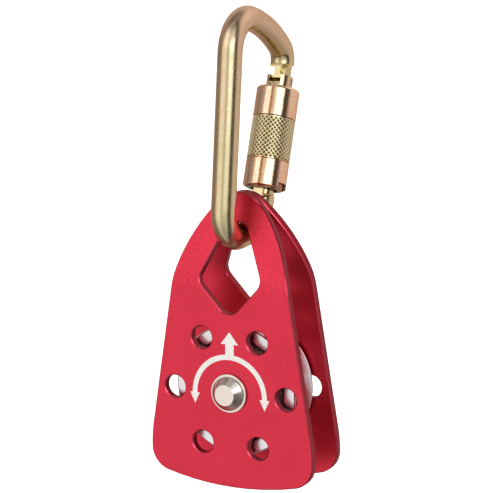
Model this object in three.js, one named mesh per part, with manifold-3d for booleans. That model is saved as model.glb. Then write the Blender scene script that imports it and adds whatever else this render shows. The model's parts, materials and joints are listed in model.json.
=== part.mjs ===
// A rescue pulley hanging on a self-locking steel carabiner.
//
// Millimetres, +Z up. X runs across the side plates, Y runs along the sheave's axle, and the
// carabiner lies in the YZ plane. The pieces are drawn around the axle's centre, and the whole
// group is then lifted so that its origin is the inside of the carabiner's top bend, where the
// assembly hangs.

import * as THREE from "three";
import { mergeVertices } from "three/addons/utils/BufferGeometryUtils.js";
import Module from "manifold-3d";

const wasm = await Module();
wasm.setup();

// ---- Driving dimensions ----------------------------------------------------------------------

const GAP = 0.3; // clearance between pieces that rest on each other

const plate = {
  thickness: 4,
  outerFace: 15, // distance from the middle plane to a plate's outer face
  tabFace: 4.15, // the same, where the two plates meet at the top
  bendHeight: 50, // where the plate starts to lean inwards
  lean: 18, // degrees
  bendRadius: 30,
  tabBendRadius: 12,
  top: 89.5,
  bottom: -44,
  halfWidth: 41,
  apexRadius: 13.5,
  apexAngle: 45.7, // degrees from straight up to where the apex arc ends
  shoulderRadius: 72.8,
  sideAngle: 80.6, // degrees from straight up to the normal of the straight side
  hipRadius: 66,
  cornerRadius: 11.1,
  bottomRadius: 140,
};

const eye = {
  topRadius: 6.8,
  topCentre: 69.2,
  sideLean: 24.5, // degrees off vertical of the two upper sides
  widest: new THREE.Vector2(16.03, 50.4),
  bottom: 33.2,
  cornerRadius: 5,
  bottomRadius: 6,
};

const lighteningHole = { count: 6, circle: 28, radius: 5.2 };

const bush = { hole: 7.3, barrel: 7.0, flange: 8.95, flangeThickness: 1.0 };

const axleSize = {
  radius: 5,
  headRadius: 7.7,
  headFlat: 4.75,
  headHeight: 3.6,
  headFoot: 0.4, // height of the cylinder below the head's cone
  bore: 3.1,
  shank: 2.8,
  keySocket: { radius: 2.9, depth: 2.6 },
};
const spacerSize = { radius: 7.3, end: 9.6 };
const washerRadius = 9.9;

const rope = { radius: 6.6 };
const sheaveSize = {
  radius: 30,
  halfWidth: 9.5,
  bore: 13.3,
  hubHalf: 5.5,
  web: { radius: 19, half: 6.4 },
  rimStart: { radius: 24, half: 9.2 },
  rimEdge: 29.4,
  rimChamfer: 0.5,
  grooveLip: 8.4,
  grooveCentre: 27.2,
};

const bearing = {
  halfWidth: 4,
  innerBore: 5.3,
  innerLand: 7.8,
  outerLand: 10.5,
  outside: 13,
  pitch: 9.15,
  ballRadius: 2.2,
  balls: 8,
  cage: { inner: 8.5, outer: 9.8, halfWidth: 3.2 },
  shield: { inner: 8.1, outer: 10.2, from: 3.5, to: 3.9 },
};

const bar = { radius: 5.5 };
const frameCorners = [
  { y: -20.1, z: 68.4, radius: 12.8 }, // where the spine meets the bottom bar
  { y: -8.6, z: 169.6, radius: 16.2 }, // top of the spine
  { y: 25.9, z: 160.9, radius: 68 }, // the long curve over the top
  { y: 41.9, z: 147.9, radius: 7.7 }, // nose
  { y: 14.4, z: 70.32, radius: 9 }, // below the hinge
];
const hinge = {
  y: 17.29,
  z: 78.5,
  lean: 19.5, // degrees that the gate leans outwards
  pin: 1.8,
  pinHalf: 5.2,
  fork: 6.6,
  floor: -6.9,
  slot: 2.9,
};

// Heights along the gate, measured from the hinge pin.
const gate = {
  radius: 6,
  tongue: 2.6,
  tongueRound: 5.9,
  shoulder: 7,
  neckTop: 12.2, // the gate is round and narrower between these two heights
  neckRadius: 4.9,
  frontFlat: -5.5,
  forkFloor: 57.1,
  top: 62.4,
  latch: 59.7,
  latchRadius: 1.2,
  latchHalf: 5.6,
  pusherOffset: -3.8,
  springChamber: 1.7,
  chamberTop: 29,
};
const pusher = { radius: 0.95, head: 1.4, headFrom: 9.4, headTo: 10.4, tip: -6.3 };
const stopPin = { radius: 1, height: 47, from: 2.3, to: 8.2 };
const gateCoil = { radius: 1.05, wire: 0.3, from: 11.1, to: 28, turns: 8, steps: 8 };
const sleeveCoil = { radius: 7.35, wire: 0.5, from: 19, to: 41, turns: 6, steps: 11 };
const sleeve = {
  bottom: 9.9,
  top: 56.7,
  radius: 9.9,
  chamber: 8.6,
  bore: 6.4,
  collar: 6, // height of the narrow bore at the top
  bottomChamfer: 0.8,
  topChamfer: 1.4,
  knurlFrom: 22.7,
  knurlTo: 42.3,
  grooveDepth: 0.25,
  grooveHalf: 0.6,
  slotHalf: 4.2,
  noseSlot: 4.5,
  hingeSlot: 2.6,
  bushDrop: 0.6, // how far the bush shows below the sleeve
  bushRise: 5.5,
};
const nose = {
  end: 57.65,
  tongue: 2.4, // half thickness of the blade between the gate's prongs
  neck: 1.1, // half thickness of the waist above the blade
  blade: 62.9, // where the blade ends and the neck starts
  innerFlat: -3.7,
  neckDepth: -1.5, // the neck's scallops reach this far across the bar
  scallopRadius: 3,
  scallopHeight: 64.8,
  backHalf: 2.8, // half width of the flattened outer side beside the neck
  step: 67.5,
};

const anchor = new THREE.Vector3(0, 8.3, 159.6); // inside of the top bend, from the axle's centre

const RING_SIDES = 24;

// ---- Geometry helpers ------------------------------------------------------------------------

const radians = THREE.MathUtils.degToRad;

function solidOf(geometry) {
  const positions = new THREE.BufferGeometry();
  const loose = geometry.index ? geometry.toNonIndexed() : geometry;
  positions.setAttribute("position", loose.getAttribute("position"));
  const merged = mergeVertices(positions, 1e-4);
  const vertProperties = merged.attributes.position.array;
  const triVerts = new Uint32Array(merged.index.array);
  return new wasm.Manifold(new wasm.Mesh({ numProp: 3, vertProperties, triVerts }));
}

function geometryOf(solid) {
  const mesh = solid.getMesh();
  const geometry = new THREE.BufferGeometry();
  geometry.setAttribute("position", new THREE.BufferAttribute(new Float32Array(mesh.vertProperties), 3));
  geometry.setIndex(new THREE.BufferAttribute(new Uint32Array(mesh.triVerts), 1));
  const faceted = geometry.toNonIndexed();
  faceted.computeVertexNormals();
  return faceted;
}

function cut(geometry, ...cutters) {
  const left = cutters.reduce((solid, cutter) => solid.subtract(solidOf(cutter)), solidOf(geometry));
  return geometryOf(left);
}

function common(a, b) {
  return geometryOf(solidOf(a).intersect(solidOf(b)));
}

function joined(a, b) {
  return geometryOf(solidOf(a).add(solidOf(b)));
}

function box(x, y, z) {
  const geometry = new THREE.BoxGeometry(x[1] - x[0], y[1] - y[0], z[1] - z[0]);
  return geometry.translate((x[0] + x[1]) / 2, (y[0] + y[1]) / 2, (z[0] + z[1]) / 2);
}

// Turns a closed or axis-to-axis list of [radius, height] pairs about Z, anticlockwise in that plane.
function turned(profile, sides = RING_SIDES) {
  const points = profile.map(([r, h]) => new THREE.Vector2(r, h));
  return new THREE.LatheGeometry(points, sides).rotateX(Math.PI / 2);
}

function rod(radius, from, to, sides = 16) {
  return turned([[0, from], [radius, from], [radius, to], [0, to]], sides);
}

function tube(inner, outer, from, to, sides = RING_SIDES) {
  return turned([[inner, from], [outer, from], [outer, to], [inner, to], [inner, from]], sides);
}

const alongX = (geometry) => geometry.rotateY(Math.PI / 2);
const alongY = (geometry) => geometry.rotateX(-Math.PI / 2);
const mirroredInY = (geometry) => geometry.rotateZ(Math.PI);

// Puts a geometry drawn from the hinge pin, with +Z up the gate, into the assembly's frame.
const gatePlace = new THREE.Matrix4()
  .makeTranslation(0, hinge.y, hinge.z)
  .multiply(new THREE.Matrix4().makeRotationX(-radians(hinge.lean)));
const onGate = (geometry) => geometry.applyMatrix4(gatePlace);

function part(name, geometry, material) {
  const mesh = new THREE.Mesh(geometry, material);
  mesh.name = name;
  return mesh;
}

// ---- Materials -------------------------------------------------------------------------------

function metal(color, roughness, metalness = 1) {
  return new THREE.MeshStandardMaterial({ color, roughness, metalness });
}

const redAnodised = () => metal(0xc8213f, 0.42, 0.7);
const silverAlloy = () => metal(0xd9dadb, 0.3);
const stainless = () => metal(0xd3d1cd, 0.32);
const bearingSteel = () => metal(0xc9cbd0, 0.18);
const zincGold = () => metal(0xc3a878, 0.33);
const polishedGold = () => metal(0xd9b99a, 0.16);
const springSteel = () => metal(0x8e9094, 0.3);
const greyNylon = () => metal(0xb9b9be, 0.6, 0);

// ---- Side plates -----------------------------------------------------------------------------

// A line of points with each inner corner rounded to its own radius.
function softBends(points, radii, steps) {
  const line = [points[0]];
  for (let i = 1; i < points.length - 1; i++) {
    const back = points[i - 1].clone().sub(points[i]).normalize();
    const ahead = points[i + 1].clone().sub(points[i]).normalize();
    const reach = radii[i - 1] / Math.tan(Math.acos(back.dot(ahead)) / 2);
    const from = points[i].clone().addScaledVector(back, reach);
    const to = points[i].clone().addScaledVector(ahead, reach);
    const bend = new THREE.QuadraticBezierCurve(from, points[i], to);
    line.push(...bend.getPoints(steps));
  }
  line.push(points[points.length - 1]);
  return line;
}

// The bent strip that a side plate is cut from, seen along X and extruded right across.
function bentStrip() {
  const half = plate.thickness / 2;
  const mid = plate.outerFace - half;
  const tabMid = plate.tabFace - half;
  const tabHeight = plate.bendHeight + (mid - tabMid) / Math.tan(radians(plate.lean));
  const centreLine = softBends(
    [
      new THREE.Vector2(-mid, plate.bottom - 5),
      new THREE.Vector2(-mid, plate.bendHeight),
      new THREE.Vector2(-tabMid, tabHeight),
      new THREE.Vector2(-tabMid, plate.top + 5),
    ],
    [plate.bendRadius, plate.tabBendRadius],
    4,
  );
  const side = (offset) =>
    centreLine.map((point, i) => {
      const before = centreLine[Math.max(i - 1, 0)];
      const after = centreLine[Math.min(i + 1, centreLine.length - 1)];
      const run = after.clone().sub(before).normalize();
      return new THREE.Vector2(point.x + run.y * offset, point.y - run.x * offset);
    });
  const section = new THREE.Shape([...side(half), ...side(-half).reverse()]);
  const reach = plate.halfWidth + 5;
  const strip = new THREE.ExtrudeGeometry(section, { depth: 2 * reach, bevelEnabled: false });
  const toAssembly = new THREE.Matrix4().makeBasis(
    new THREE.Vector3(0, 1, 0),
    new THREE.Vector3(0, 0, 1),
    new THREE.Vector3(1, 0, 0),
  );
  return strip.applyMatrix4(toAssembly).translate(-reach, 0, 0);
}

// The plate's rounded outline, seen along Y: apex, long shoulders, straight sides, curved foot.
function plateOutline() {
  const apex = radians(plate.apexAngle);
  const side = radians(plate.sideAngle);
  const apexZ = plate.top - plate.apexRadius;
  const shoulderReach = plate.apexRadius - plate.shoulderRadius;
  const shoulder = [shoulderReach * Math.sin(apex), apexZ + shoulderReach * Math.cos(apex)];
  const sideTop = [
    shoulder[0] + plate.shoulderRadius * Math.sin(side),
    shoulder[1] + plate.shoulderRadius * Math.cos(side),
  ];
  const hipX = plate.halfWidth - plate.hipRadius;
  const sideLength = (hipX + plate.hipRadius * Math.sin(side) - sideTop[0]) / Math.cos(side);
  const hipZ = sideTop[1] - sideLength * Math.sin(side) - plate.hipRadius * Math.cos(side);
  const cornerX = plate.halfWidth - plate.cornerRadius;
  const footZ = plate.bottom + plate.bottomRadius;
  const footReach = plate.bottomRadius - plate.cornerRadius;
  const cornerZ = footZ - Math.sqrt(footReach ** 2 - cornerX ** 2);
  const footAngle = Math.asin(cornerX / footReach);
  const up = Math.PI / 2;
  const down = -Math.PI / 2;

  const outline = new THREE.Shape();
  outline.absarc(0, apexZ, plate.apexRadius, up - apex, up + apex);
  outline.absarc(-shoulder[0], shoulder[1], plate.shoulderRadius, up + apex, up + side);
  outline.absarc(-hipX, hipZ, plate.hipRadius, up + side, Math.PI);
  outline.absarc(-cornerX, cornerZ, plate.cornerRadius, -Math.PI, down - footAngle);
  outline.absarc(0, footZ, plate.bottomRadius, down - footAngle, down + footAngle);
  outline.absarc(cornerX, cornerZ, plate.cornerRadius, down + footAngle, 0);
  outline.absarc(hipX, hipZ, plate.hipRadius, 0, up - side);
  outline.absarc(shoulder[0], shoulder[1], plate.shoulderRadius, up - side, up - apex);
  return outline;
}

function roundHole(x, z, radius) {
  const hole = new THREE.Path();
  hole.absarc(x, z, radius, 0, Math.PI);
  hole.absarc(x, z, radius, Math.PI, 2 * Math.PI);
  return hole;
}

// The kite-shaped eye that the carabiner goes through.
function eyeHole() {
  const { widest, topCentre, topRadius } = eye;
  const lean = radians(eye.sideLean);
  const foot = new THREE.Vector2(0, eye.bottom);
  const top = new THREE.Vector2(topRadius * Math.cos(lean), topCentre + topRadius * Math.sin(lean));
  const left = (point) => new THREE.Vector2(-point.x, point.y);
  const rightSide = softBends([top, widest, foot], [eye.cornerRadius], 5);
  rightSide.pop();
  const footBend = softBends([widest, foot, left(widest)], [eye.bottomRadius], 6).slice(1, -1);
  const leftSide = rightSide.map(left).reverse();
  const hole = new THREE.Path([...rightSide, ...footBend, ...leftSide]);
  hole.absarc(0, topCentre, topRadius, Math.PI - lean, lean, true);
  return hole;
}

function sidePlate() {
  const outline = plateOutline();
  outline.holes.push(eyeHole(), roundHole(0, 0, bush.hole));
  for (let i = 0; i < lighteningHole.count; i++) {
    const angle = (2 * Math.PI * i) / lighteningHole.count;
    const x = lighteningHole.circle * Math.cos(angle);
    const z = lighteningHole.circle * Math.sin(angle);
    outline.holes.push(roundHole(x, z, lighteningHole.radius));
  }
  const depth = plate.outerFace + 5;
  const blank = new THREE.ExtrudeGeometry(outline, { depth, bevelEnabled: false, curveSegments: 5 });
  blank.rotateX(Math.PI / 2); // shape +Y becomes +Z, and the depth runs towards -Y
  return common(bentStrip(), blank);
}

// Flanged bush that lets a plate turn on the axle. Drawn on the front plate's side.
function plateBush() {
  const face = -plate.outerFace - GAP;
  const outer = face - bush.flangeThickness;
  const inner = -plate.outerFace + plate.thickness;
  const bore = axleSize.radius + GAP;
  const profile = [
    [bore, outer],
    [bush.flange, outer],
    [bush.flange, face],
    [bush.barrel, face],
    [bush.barrel, inner],
    [bore, inner],
    [bore, outer],
  ];
  return alongY(turned(profile));
}

// ---- Axle, spacers and bearing ---------------------------------------------------------------

const headSeat = plate.outerFace + bush.flangeThickness + 2 * GAP;

// Truncated cone with a short cylindrical foot, from the seat outwards.
function coneHead(sign) {
  const { headRadius, headFlat, headHeight, headFoot } = axleSize;
  const profile = [
    [0, headSeat],
    [headRadius, headSeat],
    [headRadius, headSeat + headFoot],
    [headFlat, headSeat + headHeight],
    [0, headSeat + headHeight],
  ];
  const head = turned(profile);
  return sign > 0 ? head : head.rotateX(Math.PI);
}

function axle() {
  const shaft = rod(axleSize.radius, -headSeat - 0.5, headSeat - GAP, RING_SIDES);
  const threadedBore = rod(axleSize.bore, 2, headSeat + 1);
  return alongY(cut(joined(shaft, coneHead(-1)), threadedBore));
}

function axleScrew() {
  const shank = rod(axleSize.shank, 3, headSeat + 0.5);
  const top = headSeat + axleSize.headHeight;
  const keySocket = rod(axleSize.keySocket.radius, top - axleSize.keySocket.depth, top + 1, 6);
  return alongY(cut(joined(shank, coneHead(1)), keySocket));
}

const washerInner = spacerSize.end + GAP;
const washerOuter = plate.outerFace - plate.thickness - GAP;

function spacer() {
  return alongY(tube(axleSize.radius + GAP, spacerSize.radius, bearing.halfWidth + GAP, spacerSize.end));
}

function thrustWasher() {
  return alongY(tube(axleSize.radius + GAP, washerRadius, washerInner, washerOuter));
}

// Points along a ball groove of the given radius about the pitch circle, from one land to the other.
function ballGroove(side, land) {
  const radius = bearing.ballRadius + GAP;
  const reach = Math.acos(Math.abs(land - bearing.pitch) / radius);
  const steps = 4;
  const points = [];
  for (let i = 0; i <= steps; i++) {
    const angle = -reach + (2 * reach * i) / steps;
    points.push([bearing.pitch + side * radius * Math.cos(angle), radius * Math.sin(angle)]);
  }
  return points;
}

function innerRace() {
  const { halfWidth, innerBore, innerLand } = bearing;
  const start = [innerBore, -halfWidth];
  const groove = ballGroove(-1, innerLand);
  const far = [[innerLand, halfWidth], [innerBore, halfWidth]];
  return alongY(turned([start, [innerLand, -halfWidth], ...groove, ...far, start]));
}

function outerRace() {
  const { halfWidth, outerLand, outside } = bearing;
  const start = [outerLand, -halfWidth];
  const far = [[outside, -halfWidth], [outside, halfWidth], [outerLand, halfWidth]];
  const groove = ballGroove(1, outerLand).reverse();
  return alongY(turned([start, ...far, ...groove, start]));
}

function ballCentre(i) {
  const angle = (2 * Math.PI * (i + 0.5)) / bearing.balls;
  return new THREE.Vector3(bearing.pitch * Math.cos(angle), 0, bearing.pitch * Math.sin(angle));
}

function bearingCage() {
  const { inner, outer, halfWidth } = bearing.cage;
  const ring = alongY(tube(inner, outer, -halfWidth, halfWidth, 16));
  const pockets = [];
  for (let i = 0; i < bearing.balls; i++) {
    const { x, y, z } = ballCentre(i);
    pockets.push(new THREE.SphereGeometry(bearing.ballRadius + GAP, 8, 6).translate(x, y, z));
  }
  return cut(ring, ...pockets);
}

function bearingShield() {
  const { inner, outer, from, to } = bearing.shield;
  return alongY(tube(inner, outer, from, to));
}

// ---- Sheave ----------------------------------------------------------------------------------

function sheave() {
  const { radius, halfWidth, bore, hubHalf, web, rimStart } = sheaveSize;
  const { rimEdge, rimChamfer, grooveLip, grooveCentre } = sheaveSize;
  const steps = 8;
  const groove = [];
  for (let i = 0; i <= steps; i++) {
    const angle = Math.PI * (0.06 + (0.88 * i) / steps);
    groove.push([grooveCentre - rope.radius * Math.sin(angle), rope.radius * Math.cos(angle)]);
  }
  const flank = [
    [bore, hubHalf],
    [web.radius, web.half],
    [rimStart.radius, rimStart.half],
    [rimEdge, halfWidth],
    [radius, halfWidth - rimChamfer],
    [radius, grooveLip],
  ];
  const otherFlank = flank.map(([r, h]) => [r, -h]).reverse();
  const profile = [...flank, ...groove, ...otherFlank, flank[0]].reverse();
  return alongY(turned(profile, 36));
}

// ---- Carabiner body --------------------------------------------------------------------------

// The bar's centre line: the hinge end, round the bottom, up the spine, over the top to the nose.
function frameLine() {
  const corners = frameCorners.map(({ y, z, radius }) => ({ at: new THREE.Vector2(y, z), radius }));
  const [spineFoot, spineTop, crown, noseCorner, hingeCorner] = corners;
  const along = new THREE.Vector2(Math.sin(radians(hinge.lean)), Math.cos(radians(hinge.lean)));
  const pin = new THREE.Vector2(hinge.y, hinge.z);
  const hingeEnd = pin.clone().addScaledVector(along, hinge.fork);
  const noseEnd = pin.clone().addScaledVector(along, nose.end);
  const lower = [{ at: hingeEnd }, hingeCorner, spineFoot];
  const route = [...lower, spineTop, crown, noseCorner, { at: noseEnd }];

  const path = new THREE.Path();
  path.moveTo(hingeEnd.x, hingeEnd.y);
  for (let i = 1; i < route.length - 1; i++) {
    const { at, radius } = route[i];
    const back = route[i - 1].at.clone().sub(at).normalize();
    const ahead = route[i + 1].at.clone().sub(at).normalize();
    const half = Math.acos(back.dot(ahead)) / 2;
    const centre = back.clone().add(ahead).normalize().multiplyScalar(radius / Math.sin(half)).add(at);
    const from = at.clone().addScaledVector(back, radius / Math.tan(half)).sub(centre);
    const to = at.clone().addScaledVector(ahead, radius / Math.tan(half)).sub(centre);
    path.absarc(centre.x, centre.y, radius, from.angle(), to.angle(), true);
  }
  path.lineTo(noseEnd.x, noseEnd.y);
  return path;
}

class CurveInYZ extends THREE.Curve {
  constructor(path) {
    super();
    this.path = path;
  }
  getPoint(t, target = new THREE.Vector3()) {
    const point = this.path.getPointAt(t);
    return target.set(0, point.x, point.y);
  }
}

function sectionCircle(radius, sides) {
  const points = [];
  for (let i = 0; i < sides; i++) {
    const angle = (2 * Math.PI * i) / sides;
    points.push(new THREE.Vector2(radius * Math.cos(angle), radius * Math.sin(angle)));
  }
  return new THREE.Shape(points);
}

function carabinerBody() {
  const line = new CurveInYZ(frameLine());
  const section = sectionCircle(bar.radius, 12);
  const blank = new THREE.ExtrudeGeometry(section, { steps: 96, extrudePath: line });
  const wide = [-10, 10];
  const hingeSlot = onGate(box([-hinge.slot, hinge.slot], wide, [hinge.floor, 12]));
  const cheekBlock = onGate(cut(box(wide, wide, [0, 12]), alongX(rod(hinge.fork, -11, 11, 32))));
  const pinHole = onGate(alongX(rod(hinge.pin + GAP, -8, 8)));
  const cutters = [hingeSlot, cheekBlock, pinHole];
  for (const side of [-1, 1]) {
    const beyond = (half) => [side * half, side * (half + 8)].sort((a, b) => a - b);
    const neckAcross = [-10, nose.neckDepth];
    const scallop = alongY(rod(nose.scallopRadius, ...neckAcross));
    scallop.translate(side * (nose.neck + nose.scallopRadius), 0, nose.scallopHeight);
    cutters.push(
      onGate(box(beyond(nose.tongue), wide, [nose.end - 2, nose.blade])),
      onGate(box(beyond(nose.tongue), neckAcross, [nose.blade - 1, nose.scallopHeight])),
      onGate(scallop),
      onGate(box(beyond(nose.backHalf), wide, [nose.blade - 1, nose.step])),
    );
  }
  cutters.push(onGate(box(wide, [-10, nose.innerFlat], [nose.end - 2, nose.step])));
  const clear = gate.latchRadius + GAP;
  cutters.push(onGate(box(wide, [-10, clear], [gate.latch - clear, gate.latch + clear])));
  return cut(blank, ...cutters);
}

function hingePin() {
  return onGate(alongX(rod(hinge.pin, -hinge.pinHalf, hinge.pinHalf, 14)));
}

// ---- Gate ------------------------------------------------------------------------------------

function gateBar() {
  const { radius, tongue, shoulder, frontFlat, forkFloor, top, latch, latchRadius } = gate;
  const { neckTop, neckRadius, pusherOffset, springChamber, chamberTop } = gate;
  const blank = rod(radius, -gate.tongueRound, top, 24);
  const wide = [-10, 10];
  const below = [-10, shoulder];
  const neckZone = [shoulder - 0.5, neckTop];
  const neckCore = joined(rod(neckRadius, -10, 20, 24), box([-tongue, tongue], wide, [-10, 20]));
  const roundEnd = cut(box(wide, wide, [-10, 0]), alongX(rod(gate.tongueRound, -11, 11, 32)));
  const pusherBore = rod(pusher.radius + GAP, -10, pusher.headFrom, 12);
  const chamber = rod(springChamber, pusher.headFrom - GAP, chamberTop, 12);
  const solid = cut(
    blank,
    box([tongue, 10], wide, below),
    box([-10, -tongue], wide, below),
    cut(box(wide, wide, neckZone), neckCore),
    box(wide, [-10, frontFlat], [-10, neckTop]),
    roundEnd,
    alongX(rod(hinge.pin + GAP, -8, 8)),
    joined(pusherBore, chamber).translate(0, pusherOffset, 0),
    box([-hinge.slot, hinge.slot], wide, [forkFloor, top + 1]),
    alongX(rod(latchRadius + GAP, -8, 8)).translate(0, 0, latch),
    alongX(rod(stopPin.radius + GAP, 2, 8, 10)).translate(0, 0, stopPin.height),
  );
  return onGate(solid);
}

// Spring pusher: rests on the floor of the hinge fork and slides up into the gate as it opens.
function gatePusher() {
  const profile = [
    [0, pusher.tip],
    [pusher.radius, pusher.tip],
    [pusher.radius, pusher.headFrom],
    [pusher.head, pusher.headFrom],
    [pusher.head, pusher.headTo],
    [0, pusher.headTo],
  ];
  return onGate(turned(profile, 12).translate(0, gate.pusherOffset, 0));
}

function latchPin() {
  const pin = alongX(rod(gate.latchRadius, -gate.latchHalf, gate.latchHalf, 12));
  return onGate(pin.translate(0, 0, gate.latch));
}

function sleeveStopPin() {
  const pin = alongX(rod(stopPin.radius, stopPin.from, stopPin.to, 10));
  return onGate(pin.translate(0, 0, stopPin.height));
}

class Helix extends THREE.Curve {
  constructor(radius, from, to, turns) {
    super();
    Object.assign(this, { radius, from, to, turns });
  }
  getPoint(t, target = new THREE.Vector3()) {
    const angle = 2 * Math.PI * this.turns * t;
    const height = this.from + (this.to - this.from) * t;
    return target.set(this.radius * Math.cos(angle), this.radius * Math.sin(angle), height);
  }
}

function coilSpring({ radius, wire, from, to, turns, steps }) {
  const line = new Helix(radius, from, to, turns);
  return new THREE.ExtrudeGeometry(sectionCircle(wire, 5), { steps: turns * steps, extrudePath: line });
}

function gateSpring() {
  return onGate(coilSpring(gateCoil).translate(0, gate.pusherOffset, 0));
}

function sleeveSpring() {
  return onGate(coilSpring(sleeveCoil));
}

// ---- Locking sleeve --------------------------------------------------------------------------

// A shallow groove round the sleeve, at one end of the knurled band.
function knurlGroove(height) {
  const { radius, grooveDepth, grooveHalf } = sleeve;
  return [
    [radius, height - grooveHalf],
    [radius - grooveDepth, height],
    [radius, height + grooveHalf],
  ];
}

function lockingSleeve() {
  const { bottom, top, radius, chamber, bore, collar, bottomChamfer, topChamfer, slotHalf } = sleeve;
  const start = [chamber, bottom];
  const profile = [
    start,
    [radius - bottomChamfer, bottom],
    [radius, bottom + bottomChamfer],
    ...knurlGroove(sleeve.knurlFrom),
    ...knurlGroove(sleeve.knurlTo),
    [radius, top - topChamfer],
    [radius - topChamfer, top],
    [bore, top],
    [bore, top - collar],
    [chamber, top - collar],
    start,
  ];
  // At rest the nose slot faces -X and the hinge slot faces +X, so the gate cannot pass either end.
  const noseSlot = box([-12, 0], [-slotHalf, slotHalf], [top - sleeve.noseSlot, top + 1]);
  const hingeSlot = box([0, 12], [-slotHalf, slotHalf], [bottom - 1, bottom + sleeve.hingeSlot]);
  return onGate(cut(turned(profile, 36), noseSlot, hingeSlot));
}

function sleeveBush() {
  const { bottom, chamber, bushDrop, bushRise } = sleeve;
  return onGate(tube(gate.radius + GAP, chamber - GAP, bottom - bushDrop, bottom + bushRise));
}

// ---- Assembly --------------------------------------------------------------------------------

const assembly = new THREE.Group();

const carabiner = new THREE.Group();
carabiner.add(
  part("carabiner_body", carabinerBody(), zincGold()),
  part("gate_hinge_pin", hingePin(), stainless()),
  part("gate_bar", gateBar(), zincGold()),
  part("gate_pusher", gatePusher(), springSteel()),
  part("gate_spring", gateSpring(), springSteel()),
  part("latch_pin", latchPin(), stainless()),
  part("sleeve_stop_pin", sleeveStopPin(), stainless()),
  part("sleeve_spring", sleeveSpring(), springSteel()),
  part("locking_sleeve", lockingSleeve(), polishedGold()),
  part("sleeve_bush", sleeveBush(), stainless()),
);

const pulley = new THREE.Group();
pulley.add(
  part("front_side_plate", sidePlate(), redAnodised()),
  part("rear_side_plate", mirroredInY(sidePlate()), redAnodised()),
  part("front_plate_bush", plateBush(), stainless()),
  part("rear_plate_bush", mirroredInY(plateBush()), stainless()),
  part("axle", axle(), stainless()),
  part("axle_screw", axleScrew(), stainless()),
  part("front_spacer", mirroredInY(spacer()), stainless()),
  part("rear_spacer", spacer(), stainless()),
  part("front_thrust_washer", mirroredInY(thrustWasher()), greyNylon()),
  part("rear_thrust_washer", thrustWasher(), greyNylon()),
  part("sheave", sheave(), silverAlloy()),
  part("bearing_inner_race", innerRace(), bearingSteel()),
  part("bearing_outer_race", outerRace(), bearingSteel()),
  part("bearing_cage", bearingCage(), stainless()),
  part("front_bearing_shield", mirroredInY(bearingShield()), bearingSteel()),
  part("rear_bearing_shield", bearingShield(), bearingSteel()),
);
for (let i = 0; i < bearing.balls; i++) {
  const shape = new THREE.SphereGeometry(bearing.ballRadius, 8, 6);
  const ball = part(`bearing_ball_${i + 1}`, shape, bearingSteel());
  ball.position.copy(ballCentre(i));
  pulley.add(ball);
}

assembly.add(carabiner, pulley);
assembly.position.copy(anchor).negate();

export default assembly;
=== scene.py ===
"""Looks of a rescue pulley that hangs on a locking carabiner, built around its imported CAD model.

Lengths are in millimetres from the centre of the pulley's axle, with X across the side plates,
Y along the axle and Z up. finish_piece() moves every mesh to the model's own frame, in metres.
"""

import json
import math
from math import cos, pi, radians, sin

import bmesh
import bpy
from mathutils import Matrix, Vector
from mathutils.geometry import delaunay_2d_cdt


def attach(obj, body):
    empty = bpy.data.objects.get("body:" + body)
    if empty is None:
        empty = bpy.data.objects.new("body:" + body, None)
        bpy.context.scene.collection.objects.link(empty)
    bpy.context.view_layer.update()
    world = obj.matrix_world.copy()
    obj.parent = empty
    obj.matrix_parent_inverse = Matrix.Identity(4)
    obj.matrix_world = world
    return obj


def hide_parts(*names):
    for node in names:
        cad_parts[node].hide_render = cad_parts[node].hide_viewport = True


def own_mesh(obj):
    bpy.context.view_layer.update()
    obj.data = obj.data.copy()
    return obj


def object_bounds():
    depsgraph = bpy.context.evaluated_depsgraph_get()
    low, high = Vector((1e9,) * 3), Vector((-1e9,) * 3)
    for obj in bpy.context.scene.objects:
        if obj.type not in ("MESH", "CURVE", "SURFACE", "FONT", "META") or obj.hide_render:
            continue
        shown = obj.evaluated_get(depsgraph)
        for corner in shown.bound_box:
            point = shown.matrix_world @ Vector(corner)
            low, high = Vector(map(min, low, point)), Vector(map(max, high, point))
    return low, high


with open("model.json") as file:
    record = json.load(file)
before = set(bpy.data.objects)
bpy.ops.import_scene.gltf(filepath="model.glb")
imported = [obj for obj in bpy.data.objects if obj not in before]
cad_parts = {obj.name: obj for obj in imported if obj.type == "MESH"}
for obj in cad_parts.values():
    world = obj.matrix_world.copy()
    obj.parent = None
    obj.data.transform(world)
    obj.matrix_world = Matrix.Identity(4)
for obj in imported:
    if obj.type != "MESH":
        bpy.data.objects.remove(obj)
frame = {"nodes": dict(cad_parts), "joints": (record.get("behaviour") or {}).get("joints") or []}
cad_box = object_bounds()
joints = {joint["name"]: joint for joint in frame["joints"]}

MM = 0.001
AXLE_CENTRE = Vector(joints["sheave_spin"]["pos_m"])
GATE_UP = Vector(joints["sleeve_twist"]["axis"])
HINGE = (Vector(joints["gate_open"]["pos_m"]) - AXLE_CENTRE) / MM
TO_MODEL = Matrix.Translation(AXLE_CENTRE) @ Matrix.Scale(MM, 4)

# ---- Driving dimensions, as in the CAD model ---------------------------------------------------

GAP = 0.3

PLATE_HALF = 2.0
PLATE_MID = 13.0
TAB_MID = 2.15
BEND_HEIGHT = 50.0
LEAN = 18.0
BEND_RADIUS = 30.0
TAB_BEND_RADIUS = 12.0
PLATE_TOP = 89.5
PLATE_BOTTOM = -44.0
HALF_WIDTH = 41.0
APEX_RADIUS, APEX_ANGLE = 13.5, 45.7
SHOULDER_RADIUS, SIDE_ANGLE = 72.8, 80.6
HIP_RADIUS = 66.0
CORNER_RADIUS = 11.1
FOOT_RADIUS = 140.0
OUTER_CHAMFER, INNER_CHAMFER = 0.5, 0.35

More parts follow.
